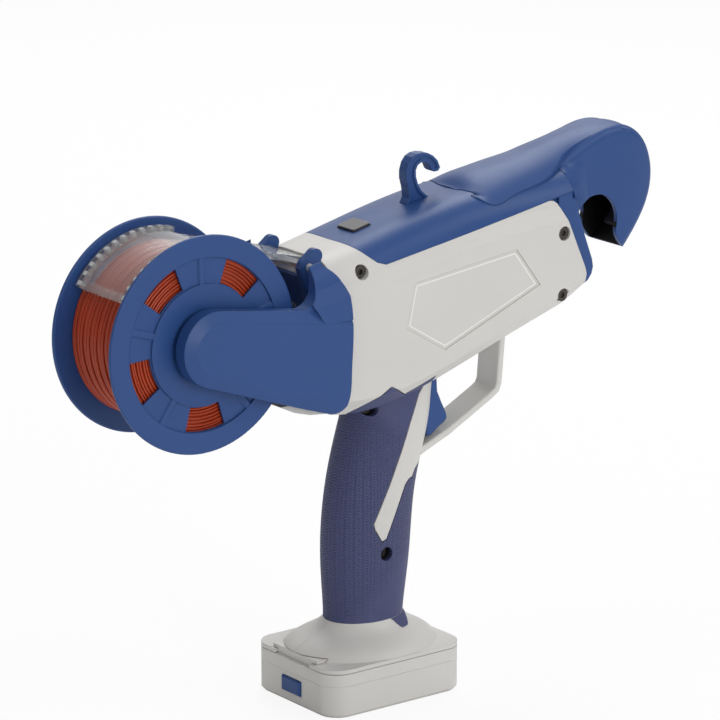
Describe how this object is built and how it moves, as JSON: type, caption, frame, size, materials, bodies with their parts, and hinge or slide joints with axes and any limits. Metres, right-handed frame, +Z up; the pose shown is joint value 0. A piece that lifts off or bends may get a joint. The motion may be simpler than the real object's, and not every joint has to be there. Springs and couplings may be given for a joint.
{
  "type": "electric vine tying tool",
  "caption": "Pistol-grip cordless tying tool: a spool of coated wire behind, a hollow hooked beak in front, trigger with guard, sliding battery foot and a hanging hook on the roof.",
  "frame": {"origin": "middle of the battery's flat underside", "axes": "+X forward to the beak, +Y to the tool's left, +Z up"},
  "size_m": [0.361, 0.089, 0.2857],
  "materials": {
    "grey_abs": "satin moulded",
    "blue_abs": "semi-gloss moulded",
    "dark_blue_abs": "semi-gloss moulded",
    "black_plastic": "matte",
    "clear_pc": "clear, frosted on its middle",
    "coated_wire": "terracotta coating over a thin steel core",
    "grip_tpe": "fine grained",
    "steel": "bright",
    "motor_can": "plated",
    "aluminium_plate": "milled",
    "brass_tube": "drawn",
    "board": "solder mask",
    "cell_can": "sleeved"
  },
  "bodies": {
    "body": {"right_shell": "grey_abs", "left_shell": "grey_abs", "shell_screws": "steel", "top_cover": "blue_abs", "power_switch": "black_plastic", "hanging_hook": "blue_abs", "beak_housing": "blue_abs", "wire_guide_strip": "black_plastic", "front_housing": "blue_abs", "right_spool_arm": "blue_abs", "left_spool_arm": "blue_abs", "spool_axle": "blue_abs", "rear_plate": "dark_blue_abs", "wire_inlet": "steel", "hinge_pin": "steel", "wire_lead": "coated_wire", "feed_motor": "motor_can", "pinch_axle": "steel", "feed_plate": "aluminium_plate", "wire_tube": "brass_tube", "twist_motor": "motor_can", "twist_mount": "aluminium_plate", "trigger_pin": "steel", "trigger_guard": "grey_abs", "trigger_switch": "black_plastic", "right_grip": "grip_tpe", "left_grip": "grip_tpe", "control_board": "board", "contact_blades": "brass_tube"},
    "spool": {"right_flange": "blue_abs", "left_flange": "blue_abs", "spool_core": "blue_abs", "wire_pack": "coated_wire", "wire_winding": "coated_wire"},
    "feed_wheel": {"feed_wheel": "steel"},
    "pinch_wheel": {"pinch_wheel": "steel"},
    "twister": {"twist_hook": "steel"},
    "cutter": {"cutter_blade": "steel"},
    "trigger": {"trigger": "blue_abs"},
    "power_button": {"power_button": "black_plastic"},
    "wire_guard": {"wire_guard": "clear_pc"},
    "release_knob": {"release_knob": "blue_abs"},
    "battery": {"battery_case": "grey_abs", "battery_lid": "grey_abs", "battery_cells": "cell_can"},
    "battery_latch": {"battery_latch": "blue_abs"}
  },
  "joints": [
    {"name": "spool_spin", "type": "hinge", "parent": "body", "child": "spool", "pos_m": [-0.116, 0, 0.211], "axis": [0, 1, 0], "continuous": true},
    {"name": "feed_wheel_spin", "type": "hinge", "parent": "body", "child": "feed_wheel", "pos_m": [0.00676, 0, 0.20741], "axis": [0, 1, 0], "continuous": true},
    {"name": "pinch_wheel_spin", "type": "hinge", "parent": "body", "child": "pinch_wheel", "pos_m": [0.00353, 0, 0.22917], "axis": [0, 1, 0], "continuous": true},
    {"name": "twist_spin", "type": "hinge", "parent": "body", "child": "twister", "pos_m": [0.131, 0, 0.22], "axis": [0.986, 0, 0.1668], "continuous": true},
    {"name": "cutter_slide", "type": "slide", "parent": "body", "child": "cutter", "axis": [0, 1, 0], "range_m": [0, 0.003], "stiffness_N_per_m": 2000, "springref_m": -0.0005},
    {"name": "trigger_pull", "type": "hinge", "parent": "body", "child": "trigger", "pos_m": [0.044, 0, 0.1805], "axis": [0, 1, 0], "range_deg": [0, 8], "stiffness_Nm_per_rad": 0.6, "springref_deg": -4.01},
    {"name": "power_press", "type": "slide", "parent": "body", "child": "power_button", "axis": [0.23, 0, -0.9732], "range_m": [0, 0.0012], "stiffness_N_per_m": 1500, "springref_m": -0.0005},
    {"name": "guard_lift", "type": "hinge", "parent": "body", "child": "wire_guard", "pos_m": [-0.047, 0, 0.2395], "axis": [0, 1, 0], "range_deg": [0, 70]},
    {"name": "knob_pull", "type": "slide", "parent": "body", "child": "release_knob", "axis": [0, 1, 0], "range_m": [0, 0.015], "stiffness_N_per_m": 400, "springref_m": -0.01},
    {"name": "battery_slide", "type": "slide", "parent": "body", "child": "battery", "axis": [-1, 0, 0], "range_m": [0, 0.08]},
    {"name": "latch_press", "type": "slide", "parent": "battery", "child": "battery_latch", "axis": [1, 0, 0], "range_m": [0, 0.002], "stiffness_N_per_m": 1500, "springref_m": -0.0005}
  ],
  "couplings": [
    {"joint": "feed_wheel_spin", "follows": "spool_spin", "ratio": -3.6583},
    {"joint": "pinch_wheel_spin", "follows": "spool_spin", "ratio": 4.39}
  ]
}
